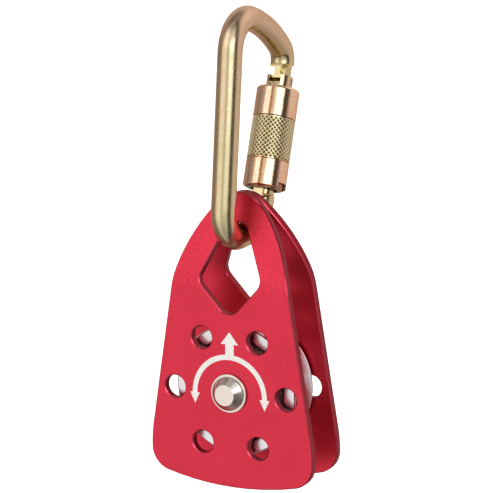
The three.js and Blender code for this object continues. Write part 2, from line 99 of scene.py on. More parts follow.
EYE_TOP_RADIUS, EYE_TOP_CENTRE, EYE_LEAN = 6.8, 69.2, 24.5
EYE_WIDEST = (16.03, 50.4)
EYE_BOTTOM = 33.2
EYE_CORNER, EYE_FOOT = 5.0, 6.0
HOLE_COUNT, HOLE_CIRCLE, HOLE_RADIUS = 6, 28.0, 5.2
BUSH_HOLE = 7.3

OUTER_FACE = PLATE_MID + PLATE_HALF
INNER_FACE = PLATE_MID - PLATE_HALF
BUSH_FLANGE, BUSH_FLANGE_THICK, BUSH_BARREL = 8.95, 1.0, 7.0
AXLE_RADIUS, AXLE_BORE = 5.0, 5.3
HEAD_RADIUS, HEAD_FLAT, HEAD_FOOT, HEAD_HEIGHT = 7.7, 4.75, 0.4, 3.6
KEY_SOCKET = 2.9
HEAD_SEAT = OUTER_FACE + BUSH_FLANGE_THICK + 2 * GAP
SHEAVE_RADIUS, GROOVE_RADIUS, GROOVE_CENTRE = 30.0, 6.6, 27.2

BAR_RADIUS = 5.5
SPINE_FOOT = (-20.1, 68.4, 12.8)
SPINE_TOP = (-8.6, 169.6, 16.2)
CROWN = (25.9, 160.9, 68)
NOSE_CORNER = (41.9, 147.9, 7.7)
HINGE_CORNER = (14.4, 70.32, 9.0)
FORK_RADIUS, FORK_FLOOR, SLOT_HALF = 6.6, -6.9, 2.9
NOSE_END, NOSE_HALF, NOSE_BLADE, NOSE_INNER = 57.65, 2.4, 62.9, -3.7
NECK_HALF, NECK_DEPTH, SCALLOP_RADIUS, SCALLOP_HEIGHT = 1.1, -1.5, 3.0, 64.8
BACK_HALF, BACK_TILT, NOSE_STEP = 2.8, 28.0, 67.5

GATE_RADIUS, GATE_TOP, GATE_FORK_FLOOR = 6.0, 62.4, 57.1
TONGUE_HALF, TONGUE_FLAT, TONGUE_ROUND, SHOULDER = 2.6, -5.5, 5.9, 7.0
NECK_TOP, NECK_RADIUS = 12.2, 4.9
LATCH_HEIGHT, LATCH_RADIUS = 59.7, 1.2
PIN_RADIUS, PIN_HALF, LATCH_HALF = 1.8, 5.2, 5.6
PUSHER_OFFSET, PUSHER_BORE = -3.8, 1.25
COIL_RADIUS, COIL_WIRE, COIL_FROM, COIL_TO, COIL_TURNS = 1.05, 0.3, 11.1, 28.0, 8

SLEEVE_BOTTOM, SLEEVE_TOP, SLEEVE_RADIUS = 9.9, 56.7, 9.9
SLEEVE_BORE, SLEEVE_CHAMBER, SLEEVE_COLLAR = 6.4, 8.6, 6
SLEEVE_SLOT_HALF, NOSE_SLOT, HINGE_SLOT = 4.2, 4.5, 2.6
KNURL_FROM, KNURL_TO = 22.7, 42.3
KNURL_COLUMNS, KNURL_ROWS, KNURL_DEPTH = 28, 9, 0.55

# ---- Places ------------------------------------------------------------------------------------

ALONG_Y = Matrix.Rotation(-pi / 2, 4, "X")  # local height runs along +Y
ALONG_X = Matrix.Rotation(pi / 2, 4, "Y")  # local height runs along +X
TURNED_ROUND = Matrix.Rotation(pi, 4, "Z")
GATE_LEAN = math.atan2(GATE_UP.y, GATE_UP.z)
ON_GATE = Matrix.Translation(HINGE) @ Matrix.Rotation(-GATE_LEAN, 4, "X")


# ---- Outline helpers ---------------------------------------------------------------------------


def arc(centre, radius, start, end, step=3.0):
    """Points of an arc from one angle to another, in degrees from +x, ends included."""
    count = max(2, math.ceil(abs(end - start) / step))
    angles = [radians(start + (end - start) * i / count) for i in range(count + 1)]
    return [(centre[0] + radius * cos(a), centre[1] + radius * sin(a)) for a in angles]


def fillet(before, corner, after, radius, step=6.0):
    """The arc of a radius that rounds one corner of an outline."""
    corner = Vector(corner)
    back = (Vector(before) - corner).normalized()
    ahead = (Vector(after) - corner).normalized()
    half = back.angle(ahead) / 2
    if radius <= 0 or half > radians(89.9):
        return [tuple(corner)]
    centre = corner + (back + ahead).normalized() * (radius / sin(half))
    reach = radius / math.tan(half)
    first = corner + back * reach - centre
    last = corner + ahead * reach - centre
    start = math.atan2(first.y, first.x)
    sweep = (math.atan2(last.y, last.x) - start + pi) % (2 * pi) - pi
    return arc(centre, radius, math.degrees(start), math.degrees(start + sweep), step)


def filleted(points, closed=False):
    """An outline from (x, y, fillet radius) corners. Open ends keep their corners."""
    line = []
    for i, (x, y, radius) in enumerate(points):
        if not closed and i in (0, len(points) - 1):
            line.append((x, y))
            continue
        before = points[i - 1][:2]
        after = points[(i + 1) % len(points)][:2]
        line += fillet(before, (x, y), after, radius)
    return line


def without_repeats(loop, tolerance=1e-4):
    """A closed loop without points that repeat the one before."""
    kept = []
    for point in loop:
        if not kept or math.dist(point, kept[-1]) > tolerance:
            kept.append(point)
    if math.dist(kept[0], kept[-1]) < tolerance:
        kept.pop()
    return kept


def inset(loop, distance):
    """A closed loop moved to its left, which is into the metal on every loop of a plate."""
    moved = []
    for i, point in enumerate(loop):
        before, after = Vector(loop[i - 1]), Vector(loop[(i + 1) % len(loop)])
        here = Vector(point)
        first = (here - before).normalized()
        second = (after - here).normalized()
        normal = Vector((-first.y - second.y, first.x + second.x)).normalized()
        stretch = max(0.5, normal.dot(Vector((-first.y, first.x))))
        moved.append(tuple(here + normal * (distance / stretch)))
    return moved


def inside(point, loop):
    """True if the point lies inside the closed loop."""
    x, y = point
    crossed = False
    for i, (x1, y1) in enumerate(loop):
        x0, y0 = loop[i - 1]
        if (y0 > y) != (y1 > y) and x < x0 + (y - y0) * (x1 - x0) / (y1 - y0):
            crossed = not crossed
    return crossed


# ---- Mesh helpers ------------------------------------------------------------------------------


def lathe(profile, place=Matrix(), segments=96, closed=False):
    """A bmesh turned from (radius, height) points about the local height axis."""
    bm = bmesh.new()
    rings = []
    for radius, height in profile:
        if radius < 1e-6:
            rings.append([bm.verts.new((0, 0, height))])
            continue
        angles = [2 * pi * i / segments for i in range(segments)]
        rings.append([bm.verts.new((radius * cos(a), radius * sin(a), height)) for a in angles])
    pairs = list(zip(rings, rings[1:]))
    if closed:
        pairs.append((rings[-1], rings[0]))
    for low, high in pairs:
        for i in range(segments):
            j = (i + 1) % segments
            corners = [low[i % len(low)], low[j % len(low)], high[j % len(high)], high[i % len(high)]]
            corners = list(dict.fromkeys(corners))
            if len(corners) > 2:
                bm.faces.new(corners)
    bmesh.ops.recalc_face_normals(bm, faces=bm.faces)
    bm.transform(place)
    return bm


def rod(radius, start, end, place=Matrix(), segments=48):
    return lathe([(0, start), (radius, start), (radius, end), (0, end)], place, segments)


def block(x, y, z, place=Matrix()):
    """A bmesh box from its (low, high) extents."""
    bm = bmesh.new()
    bmesh.ops.create_cube(bm, size=1)
    size = Matrix.Diagonal((x[1] - x[0], y[1] - y[0], z[1] - z[0], 1))
    middle = Matrix.Translation((sum(x) / 2, sum(y) / 2, sum(z) / 2))
    bm.transform(place @ middle @ size)
    return bm


def object_of(bm, name="scratch"):
    mesh = bpy.data.meshes.new(name)
    bm.to_mesh(mesh)
    bm.free()
    shape = bpy.data.objects.new(name, mesh)
    bpy.context.scene.collection.objects.link(shape)
    return shape


def applied(shape):
    """Replaces an object's mesh by what its modifiers make of it."""
    graph = bpy.context.evaluated_depsgraph_get()
    mesh = bpy.data.meshes.new_from_object(shape.evaluated_get(graph))
    shape.modifiers.clear()
    shape.data = mesh
    return shape


def carve(bm, cutters, joined=()):
    """The solid with other solids joined to it and cut from it."""
    shape = object_of(bm)
    tools = []
    for operation, solids in (("UNION", joined), ("DIFFERENCE", cutters)):
        for solid in solids:
            tool = object_of(solid)
            tool.hide_render = True
            modifier = shape.modifiers.new("cut", "BOOLEAN")
            modifier.operation = operation
            modifier.solver = "EXACT"
            modifier.object = tool
            tools.append(tool)
    applied(shape)
    for tool in tools:
        bpy.data.objects.remove(tool)
    return shape


def solid_of(shape):
    """Takes an object apart again, to use its solid as a cutter."""
    bm = bmesh.new()
    bm.from_mesh(shape.data)
    bpy.data.objects.remove(shape)
    return bm


def tidy_faces(shape):
    """Merges the slivers and split flats that cutting leaves, so that edges can be rounded."""
    bm = bmesh.new()
    bm.from_mesh(shape.data)
    bmesh.ops.remove_doubles(bm, verts=bm.verts, dist=0.004)
    bmesh.ops.dissolve_degenerate(bm, edges=bm.edges, dist=0.004)
    bmesh.ops.dissolve_limit(bm, angle_limit=radians(0.4), verts=bm.verts, edges=bm.edges)
    bm.to_mesh(shape.data)
    bm.free()
    return shape


def round_edges(shape, width, segments=3, angle=32):
    """Rounds every edge sharper than an angle."""
    tidy_faces(shape)
    bevel = shape.modifiers.new("round", "BEVEL")
    bevel.width = width
    bevel.segments = segments
    bevel.limit_method = "ANGLE"
    bevel.angle_limit = radians(angle)
    bevel.use_clamp_overlap = True
    bevel.miter_outer = "MITER_ARC"
    return applied(shape)


def finish_piece(shape, name, body, materials, nodes, sharp=34):
    """Names a mesh, moves it to the model's frame, shades it and makes it ride on its body."""
    shape.name = name
    shape.data.name = name
    shape.data.transform(TO_MODEL)
    for material in materials:
        shape.data.materials.append(material)
    shape.data.polygons.foreach_set("use_smooth", [True] * len(shape.data.polygons))
    shape.data.set_sharp_from_angle(angle=radians(sharp))
    weighted = shape.modifiers.new("normals", "WEIGHTED_NORMAL")
    weighted.keep_sharp = True
    applied(shape)
    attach(shape, body)
    if nodes:
        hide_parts(*nodes)
    return shape


# ---- Shader helpers ----------------------------------------------------------------------------


def add(tree, kind, inputs=None, **settings):
    """A shader node, with sockets linked or set by name or number."""
    made = tree.nodes.new(kind)
    for key, value in settings.items():
        setattr(made, key, value)
    for key, value in (inputs or {}).items():
        if isinstance(value, bpy.types.NodeSocket):
            tree.links.new(value, made.inputs[key])
        else:
            made.inputs[key].default_value = value
    return made


def ramp(tree, value, stops):
    """A colour ramp through (position, colour) stops."""
    made = add(tree, "ShaderNodeValToRGB", {"Fac": value})
    elements = made.color_ramp.elements
    while len(elements) < len(stops):
        elements.new(1.0)
    for element, (position, colour) in zip(elements, stops):
        element.position = position
        element.color = (*colour, 1.0)
    return made.outputs["Color"]


def noise(tree, scale, detail=2.0, stretch=(1, 1, 1)):
    """Noise on the piece's own millimetres, with about scale features in each."""
    coordinates = add(tree, "ShaderNodeTexCoord").outputs["Object"]
    size = [scale / MM * s for s in stretch]
    mapped = add(tree, "ShaderNodeMapping", {"Vector": coordinates, "Scale": size})
    made = add(tree, "ShaderNodeTexNoise", {"Vector": mapped.outputs["Vector"], "Detail": detail})
    made.inputs["Scale"].default_value = 1.0
    return made.outputs["Fac"]


def mixed(tree, factor, first, second):
    made = add(tree, "ShaderNodeMix", data_type="RGBA")
    for socket, value in ((made.inputs[0], factor), (made.inputs[6], first), (made.inputs[7], second)):
        if isinstance(value, bpy.types.NodeSocket):
            tree.links.new(value, socket)
        else:
            socket.default_value = (*value, 1.0) if isinstance(value, tuple) else value
    return made.outputs[2]


def spread(tree, value, low, high):
    """A 0 to 1 value moved to a narrower range."""
    made = add(tree, "ShaderNodeMapRange", {"Value": value, "To Min": low, "To Max": high})
    made.inputs["From Min"].default_value = 0.3
    made.inputs["From Max"].default_value = 0.7
    return made.outputs["Result"]


def bump(tree, height, depth, strength=1.0, under=None):
    """A bump of a depth in millimetres."""
    made = add(tree, "ShaderNodeBump", {"Height": height, "Distance": depth * MM, "Strength": strength})
    if under is not None:
        tree.links.new(under, made.inputs["Normal"])
    return made.outputs["Normal"]


def new_material(name, metallic=1.0):
    material = bpy.data.materials.new(name)
    material.use_nodes = True
    tree = material.node_tree
    surface = tree.nodes["Principled BSDF"]
    surface.inputs["Metallic"].default_value = metallic
    return material, tree, surface


def wire(tree, surface, **links):
    """Links or sets inputs of the surface, with underscores for spaces."""
    for key, value in links.items():
        socket = surface.inputs[key.replace("_", " ")]
        if isinstance(value, bpy.types.NodeSocket):
            tree.links.new(value, socket)
        elif isinstance(value, tuple):
            socket.default_value = (*value, 1.0)
        else:
            socket.default_value = value


# ---- Materials ---------------------------------------------------------------------------------

BEND_TINT_FROM, BEND_TINT_TO = -0.020, 0.010  # heights in metres over which the bar turns pinker


def red_anodised(name, deep, light, rough, grain_depth, coat=0.6):
    """Dyed anodised aluminium: blasted metal under a clear, slightly cloudy oxide."""
    material, tree, surface = new_material(name)
    fine = noise(tree, 1.5, 3.0)
    broad = noise(tree, 0.05, 2.0)
    colour = mixed(tree, spread(tree, fine, 0.0, 1.0), deep, light)
    colour = mixed(tree, spread(tree, broad, 0.0, 0.2), colour, deep)
    roughness = spread(tree, broad, rough - 0.03, rough + 0.03)
    normal = bump(tree, fine, grain_depth)
    wire(tree, surface, Base_Color=colour, Roughness=roughness, Normal=normal)
    wire(tree, surface, Coat_Weight=coat, Coat_Roughness=rough + 0.05, Coat_Normal=normal)
    return material


def zinc_gold(name, rough=0.24):
    """Yellow chromate on zinc plated steel: pale olive gold, pinker towards the top bend."""
    material, tree, surface = new_material(name)
    drift = noise(tree, 0.045, 2.0)
    patches = noise(tree, 0.35, 3.0)
    speck = noise(tree, 2.0, 3.0)
    colour = ramp(
        tree,
        drift,
        [
            (0.34, (0.70, 0.66, 0.37)),
            (0.48, (0.78, 0.70, 0.44)),
            (0.62, (0.78, 0.65, 0.44)),
        ],
    )
    height = add(tree, "ShaderNodeSeparateXYZ", {0: add(tree, "ShaderNodeTexCoord").outputs["Object"]})
    bend = add(tree, "ShaderNodeMapRange", {"Value": height.outputs["Z"]})
    bend.inputs["From Min"].default_value = BEND_TINT_FROM
    bend.inputs["From Max"].default_value = BEND_TINT_TO
    colour = mixed(tree, bend.outputs["Result"], colour, (0.78, 0.62, 0.46))
    colour = mixed(tree, spread(tree, patches, 0.0, 0.30), colour, (0.60, 0.47, 0.25))
    colour = mixed(tree, spread(tree, speck, 0.0, 0.30), colour, (0.42, 0.31, 0.17))
    roughness = spread(tree, patches, rough - 0.05, rough + 0.06)
    normal = bump(tree, speck, 0.008, 0.7)
    wire(tree, surface, Base_Color=colour, Roughness=roughness, Normal=normal)
    wire(tree, surface, Specular_Tint=(1.0, 0.78, 0.64))
    return material


def polished_gold(name, rough=0.10):
    """Machined and plated, polished by hands, with shallow dents and wear round the sleeve."""
    material, tree, surface = new_material(name)
    drift = noise(tree, 0.12, 2.0)
    wear = noise(tree, 1.1, 4.0)
    dents = noise(tree, 0.45, 2.0)
    colour = ramp(
        tree,
        drift,
        [
            (0.34, (0.93, 0.76, 0.53)),
            (0.50, (0.93, 0.71, 0.50)),
            (0.66, (0.88, 0.63, 0.43)),
        ],
    )
    colour = mixed(tree, spread(tree, wear, 0.0, 0.38), colour, (0.56, 0.37, 0.22))
    roughness = spread(tree, wear, rough - 0.04, rough + 0.08)
    normal = bump(tree, dents, 0.05, 0.7)
    normal = bump(tree, wear, 0.022, 0.6, normal)
    wire(tree, surface, Base_Color=colour, Roughness=roughness, Normal=normal)
    wire(tree, surface, Specular_Tint=(1.0, 0.76, 0.60))
    return material


def knurl_gold(name, dark, light, rough):
    """Olive gold of the knurl: paler on its ridges as painted highlight, near black in its pits as
    painted shade.
    """
    material, tree, surface = new_material(name)
    patches = noise(tree, 1.5, 2.0)
    colour = mixed(tree, spread(tree, patches, 0.0, 1.0), dark, light)
    wire(tree, surface, Base_Color=colour, Roughness=spread(tree, patches, rough, rough + 0.12))
    return material


def turned_metal(name, dark, light, rough, centre=None, rings=3.0, grain=0.004):
    """Bright turned metal. With a centre, fine rings run round the Y axis through it."""
    material, tree, surface = new_material(name)
    cloud = noise(tree, 0.3, 3.0)
    speck = noise(tree, 5.0, 2.0)
    colour = mixed(tree, spread(tree, cloud, 0.0, 1.0), dark, light)
    normal = bump(tree, speck, grain, 0.5) if grain else None
    if centre is not None and grain:
        coordinates = add(tree, "ShaderNodeTexCoord").outputs["Object"]
        move = add(tree, "ShaderNodeMapping", {"Vector": coordinates, "Location": -centre})
        scaled = add(tree, "ShaderNodeVectorMath", operation="SCALE")
        tree.links.new(move.outputs["Vector"], scaled.inputs[0])
        scaled.inputs["Scale"].default_value = rings / MM
        wave = add(
            tree,
            "ShaderNodeTexWave",
            {"Vector": scaled.outputs[0], "Scale": 1.0, "Distortion": 1.5, "Detail": 2.0},
            wave_type="RINGS",
            rings_direction="Y",
        )
        normal = bump(tree, wave.outputs["Fac"], grain, 0.3, normal)
    roughness = spread(tree, cloud, rough - 0.05, rough + 0.06)
    wire(tree, surface, Base_Color=colour, Roughness=roughness)
    if normal is not None:
        wire(tree, surface, Normal=normal)
    return material


def nylon(name):
    material, tree, surface = new_material(name, 0.0)
    cloud = noise(tree, 0.8, 3.0)
    colour = mixed(tree, spread(tree, cloud, 0.0, 1.0), (0.40, 0.40, 0.42), (0.52, 0.52, 0.55))
    normal = bump(tree, cloud, 0.02)
    wire(tree, surface, Base_Color=colour, Roughness=0.5, Normal=normal)
    return material


def white_ink(name):
    """Screen printed ink, slightly uneven, with the blasted metal's grain telling through."""
    material, tree, surface = new_material(name, 0.0)
    fine = noise(tree, 1.5, 3.0)
    colour = mixed(tree, spread(tree, fine, 0.0, 1.0), (0.46, 0.45, 0.43), (0.56, 0.55, 0.53))
    wire(tree, surface, Base_Color=colour, Roughness=0.55, Normal=bump(tree, fine, 0.01))
    return material


RED = red_anodised("red_anodised_face", (0.58, 0.012, 0.040), (0.84, 0.036, 0.088), 0.40, 0.020)
# Partly painted highlight: the chamfers are smoother than the faces, and their red is also paler and
# whiter so that they read as bright edge lines.
RED_EDGE_HIGHLIGHT = red_anodised("red_anodised_chamfer_painted_highlight", (0.66, 0.03, 0.08), (0.86, 0.09, 0.15), 0.26, 0.004, 0.5)
# Painted shade: the plates' side walls are the same anodised red as their faces, coloured about 0.4 times
# as dark.
RED_WALL_SHADE = red_anodised("red_anodised_wall_painted_shade", (0.26, 0.006, 0.018), (0.36, 0.014, 0.034), 0.42, 0.010, 0.1)
ZINC = zinc_gold("zinc_gold")
ZINC_MACHINED = zinc_gold("zinc_gold_machined", 0.12)
GOLD = polished_gold("polished_gold")
# Painted highlight and painted shade: the ridges are paler than the sleeve's gold, and the pits are
# nearly black where shade falls in them.
KNURL = knurl_gold("knurl_ridge_painted_highlight", (0.80, 0.75, 0.44), (0.92, 0.88, 0.62), 0.28)
KNURL_PIT_SHADE = knurl_gold("knurl_pit_painted_shade", (0.20, 0.12, 0.05), (0.32, 0.22, 0.10), 0.35)
STEEL = turned_metal(
    "stainless_turned", (0.72, 0.68, 0.62), (0.80, 0.76, 0.70), 0.22, AXLE_CENTRE, 2.5, 0.001
)
ALLOY = turned_metal("silver_alloy_turned", (0.70, 0.71, 0.74), (0.78, 0.79, 0.82), 0.24, grain=0.0)
BRIGHT = turned_metal("bearing_steel", (0.55, 0.56, 0.58), (0.66, 0.67, 0.69), 0.12)
SPRING = turned_metal("spring_steel", (0.22, 0.22, 0.24), (0.32, 0.32, 0.34), 0.30)
BRONZE = turned_metal("dark_bronze", (0.30, 0.17, 0.12), (0.42, 0.25, 0.18), 0.26)
PIN_STEEL = turned_metal("pin_steel", (0.52, 0.49, 0.44), (0.64, 0.60, 0.54), 0.24)
NYLON = nylon("grey_nylon")
INK = white_ink("white_ink")


# ---- Side plates -------------------------------------------------------------------------------


def plate_outline():
    """Apex, long shoulders, straight sides and curved foot, anticlockwise in X and Z."""
    apex_z = PLATE_TOP - APEX_RADIUS
    reach = APEX_RADIUS - SHOULDER_RADIUS
    shoulder = (reach * sin(radians(APEX_ANGLE)), apex_z + reach * cos(radians(APEX_ANGLE)))
    side = radians(SIDE_ANGLE)
    side_x = shoulder[0] + SHOULDER_RADIUS * sin(side)
    side_z = shoulder[1] + SHOULDER_RADIUS * cos(side)
    hip_x = HALF_WIDTH - HIP_RADIUS
    length = (hip_x + HIP_RADIUS * sin(side) - side_x) / cos(side)
    hip_z = side_z - length * sin(side) - HIP_RADIUS * cos(side)
    corner_x = HALF_WIDTH - CORNER_RADIUS
    foot_z = PLATE_BOTTOM + FOOT_RADIUS
    foot_reach = FOOT_RADIUS - CORNER_RADIUS
    corner_z = foot_z - math.sqrt(foot_reach**2 - corner_x**2)
    foot = math.degrees(math.asin(corner_x / foot_reach))
    loop = arc((0, apex_z), APEX_RADIUS, 90 - APEX_ANGLE, 90 + APEX_ANGLE)
    loop += arc((-shoulder[0], shoulder[1]), SHOULDER_RADIUS, 90 + APEX_ANGLE, 90 + SIDE_ANGLE, 1)
    loop += arc((-hip_x, hip_z), HIP_RADIUS, 90 + SIDE_ANGLE, 180, 1)
    loop += arc((-corner_x, corner_z), CORNER_RADIUS, 180, 270 - foot)
    loop += arc((0, foot_z), FOOT_RADIUS, 270 - foot, 270 + foot, 1)
    loop += arc((corner_x, corner_z), CORNER_RADIUS, 270 + foot, 360)
    loop += arc((hip_x, hip_z), HIP_RADIUS, 0, 90 - SIDE_ANGLE, 1)
    loop += arc(shoulder, SHOULDER_RADIUS, 90 - SIDE_ANGLE, 90 - APEX_ANGLE, 1)
    return without_repeats(loop)


def eye_outline():
    """The kite-shaped eye for the carabiner, clockwise."""
    widest_x, widest_z = EYE_WIDEST
    top = arc((0, EYE_TOP_CENTRE), EYE_TOP_RADIUS, EYE_LEAN, 180 - EYE_LEAN, 5)
    left, foot, right = (-widest_x, widest_z), (0, EYE_BOTTOM), (widest_x, widest_z)
    loop = top + fillet(top[-1], left, foot, EYE_CORNER)
    loop += fillet(left, foot, right, EYE_FOOT) + fillet(foot, right, top[0], EYE_CORNER)
    return without_repeats(loop)[::-1]


def plate_holes():
    """Bush hole and lightening holes, clockwise."""
    holes = [arc((0, 0), BUSH_HOLE, 360, 0, 6)]
    for i in range(HOLE_COUNT):
        angle = 2 * pi * i / HOLE_COUNT
        centre = (HOLE_CIRCLE * cos(angle), HOLE_CIRCLE * sin(angle))
        holes.append(arc(centre, HOLE_RADIUS, 360, 0, 6))
    return [without_repeats(hole) for hole in holes]


def bend_line():
    """The front plate's middle line, seen along X: (distance along, y, z, tangent) rows."""
    tab_height = BEND_HEIGHT + (PLATE_MID - TAB_MID) / math.tan(radians(LEAN))
    points = filleted(
        [
            (-PLATE_MID, PLATE_BOTTOM - 5, 0),
            (-PLATE_MID, BEND_HEIGHT, BEND_RADIUS),
            (-TAB_MID, tab_height, TAB_BEND_RADIUS),
            (-TAB_MID, PLATE_TOP + 5, 0),
        ]
    )
    rows = []
    along = 0.0
    for i, (y, z) in enumerate(points):
        if i:
            along += math.dist(points[i - 1], (y, z))
        before = Vector(points[max(i - 1, 0)])
        after = Vector(points[min(i + 1, len(points) - 1)])
        rows.append((along, y, z, (after - before).normalized()))
    return rows


def flatten(loop, rows):
    """Moves an outline drawn in X and Z onto the flat blank, along the bend line."""
    flat = []
    for x, z in loop:
        for (s0, _, z0, _), (s1, _, z1, _) in zip(rows, rows[1:]):
            if z <= z1:
                flat.append((x, s0 + (s1 - s0) * (z - z0) / (z1 - z0)))
                break
    return flat


def bent(point, rows):
    """Where a point of the flat blank (x, distance along, depth) ends up on the bent plate."""
    x, s, depth = point
    for (s0, y0, z0, t0), (s1, y1, z1, t1) in zip(rows, rows[1:]):
        if s <= s1 + 1e-6:
            share = max(0.0, (s - s0) / (s1 - s0))
            tangent = t0.lerp(t1, share).normalized()
            y = y0 + (y1 - y0) * share - tangent.y * depth
            z = z0 + (z1 - z0) * share + tangent.x * depth
            return Vector((x, y, z))
    return Vector(point)


def blank_with_chamfers(loops, half, outer, inner):
    """A flat solid with holes. Its outer face is at +half and every edge is chamfered."""
    bm = bmesh.new()
    layers = [(outer, half), (0.0, half - outer), (0.0, inner - half), (inner, -half)]
    caps = {0: [], 3: []}
    for loop in loops:
        rings = []
        for k, (distance, depth) in enumerate(layers):
            flat = inset(loop, distance) if distance else loop
            ring = [bm.verts.new((x, s, depth)) for x, s in flat]
            rings.append(ring)
            if k in caps:
                caps[k].append((flat, ring))
        for upper, lower in zip(rings, rings[1:]):
            for i in range(len(loop)):
                bm.faces.new((upper[i - 1], upper[i], lower[i], lower[i - 1]))
    for k, parts in caps.items():
        points = [Vector(p) for flat, _ in parts for p in flat]
        verts = [v for _, ring in parts for v in ring]
        edges = []
        for flat, _ in parts:
            start = len(edges)
            edges += [(start + i, start + (i + 1) % len(flat)) for i in range(len(flat))]
        made = delaunay_2d_cdt(points, edges, [], 0, 1e-6)
        for face in made[2]:
            middle = sum((made[0][i] for i in face), Vector((0, 0))) / 3
            covered = sum(inside(middle, flat) for flat, _ in parts)
            if covered == 1:
                corners = [verts[made[3][i][0]] for i in face]
                bm.faces.new(corners if k == 0 else corners[::-1])
    bmesh.ops.recalc_face_normals(bm, faces=bm.faces)
    return bm


def side_plate(name, body, place):
    rows = bend_line()
    loops = [plate_outline(), eye_outline(), *plate_holes()]
    loops = [flatten(loop, rows) for loop in loops]
    bm = blank_with_chamfers(loops, PLATE_HALF, OUTER_CHAMFER, INNER_CHAMFER)
    # Faces keep the face red. Chamfers take the paler red of a painted highlight, and side walls take the
    # darker red of painted shade.
    for face in bm.faces:
        facing = abs(face.normal.z)
        face.material_index = 0 if facing > 0.95 else 1 if facing > 0.2 else 2
    for along, *_ in rows[1:-1]:
        everything = bm.verts[:] + bm.edges[:] + bm.faces[:]
        bmesh.ops.bisect_plane(bm, geom=everything, plane_co=(0, along, 0), plane_no=(0, 1, 0))
    for vert in bm.verts:
        vert.co = bent(vert.co, rows)
    bm.transform(place)
    bmesh.ops.recalc_face_normals(bm, faces=bm.faces)
    shape = object_of(bm)
    materials = [RED, RED_EDGE_HIGHLIGHT, RED_WALL_SHADE]
    return finish_piece(shape, f"{name}_looks", body, materials, [name], 25)


def load_arrows():
    """White load-direction arrows printed round the axle: a plain pictogram, no lettering."""
    mid, half = 17.6, 1.2
    centre = (0.0, -1.2)
    band = arc(centre, mid + half, -3, 183, 3) + arc(centre, mid - half, 183, -3, 3)
    shapes = [band]
    head_half, head_base, head_tip = 2.45, -1.4, -6.4
    for side in (-1, 1):
        tip = centre[0] + side * mid
        near, far = tip - side * head_half, tip + side * head_half
        shapes.append([(near, head_base), (tip, head_tip), (far, head_base)])
    stem_left, stem_right, stem_top = -1.82, 2.42, 22.6
    stem_foot = mid - 2
    foot = [(stem_left, stem_foot), (stem_right, stem_foot)]
    shapes.append([*foot, (stem_right, stem_top), (stem_left, stem_top)])
    shapes.append([(-4.1, 22.3), (4.7, 22.3), (0.3, 27.95)])
    bm = bmesh.new()
    lift, skin, step = 0.005, 0.03, 0.002  # each shape lies a little over the one before
    face_y = -OUTER_FACE - lift
    for level, outline in enumerate(shapes):
        top = face_y - skin - step * level
        verts = [bm.verts.new((x, top, z)) for x, z in outline]
        roots = [bm.verts.new((x, face_y, z)) for x, z in outline]
        points = [Vector((x, z)) for x, z in outline]
        edges = [(i, (i + 1) % len(points)) for i in range(len(points))]
        made = delaunay_2d_cdt(points, edges, [], 0, 1e-6)
        for face in made[2]:
            middle = sum((made[0][i] for i in face), Vector((0, 0))) / 3
            if inside(middle, outline):
                bm.faces.new([verts[i] for i in face])
                bm.faces.new([roots[i] for i in face][::-1])
        for i in range(len(verts)):
            bm.faces.new((verts[i - 1], verts[i], roots[i], roots[i - 1]))
    bmesh.ops.recalc_face_normals(bm, faces=bm.faces)
    return finish_piece(object_of(bm), "load_arrows_print", "front_plate", [INK], [])


# ---- Axle, bushes, spacers, bearing and sheave -------------------------------------------------


def ring_piece(name, body, material, corners, place, nodes, segments=96):
    """A turned ring from (radius, height, fillet) corners."""
    bm = lathe(filleted(corners, closed=True), place, segments, closed=True)
    return finish_piece(object_of(bm), f"{name}_looks", body, [material], nodes)


def plate_bush(side):
    face = -OUTER_FACE - GAP
    outer = face - BUSH_FLANGE_THICK
    corners = [
        (AXLE_BORE, outer, 0.2),
        (BUSH_FLANGE, outer, 0.45),
        (BUSH_FLANGE, face, 0.2),
        (BUSH_BARREL, face, 0),
        (BUSH_BARREL, -INNER_FACE, 0.2),
        (AXLE_BORE, -INNER_FACE, 0.2),
    ]
    place = ALONG_Y if side == "front" else TURNED_ROUND @ ALONG_Y
    body, node = f"{side}_plate", f"{side}_plate_bush"
    ring_piece(node, body, STEEL, corners, place, [node])


def head_profile():
    """Half of the axle head's section, from its seat to the middle of its flat."""
    return [
        (HEAD_RADIUS, HEAD_SEAT, 0.1),
        (HEAD_RADIUS, HEAD_SEAT + HEAD_FOOT, 0.15),
        (HEAD_FLAT, HEAD_SEAT + HEAD_HEIGHT, 0.35),
        (0, HEAD_SEAT + HEAD_HEIGHT, 0),
    ]


def axle():
    corners = [(0, 2.0, 0), (AXLE_RADIUS, 2.0, 0), (AXLE_RADIUS, HEAD_SEAT, 0), *head_profile()]
    front = lathe(filleted(corners), TURNED_ROUND @ ALONG_Y)
    rear = rod(AXLE_RADIUS, -2.1, HEAD_SEAT - GAP, ALONG_Y, 96)
    shape = carve(front, [], [rear])
    finish_piece(shape, "axle_looks", "axle", [STEEL], ["axle"])


def axle_screw():
    start = HEAD_SEAT - 0.1
    corners = [(0, start, 0), (HEAD_RADIUS, start, 0), *head_profile()]
    head = lathe(filleted(corners), ALONG_Y)
    socket = rod(KEY_SOCKET, HEAD_SEAT + 1.0, HEAD_SEAT + 5.0, ALONG_Y, 6)
    shape = round_edges(carve(head, [socket]), 0.12, 2, 40)
    finish_piece(shape, "axle_screw_looks", "axle", [STEEL], ["axle_screw"])


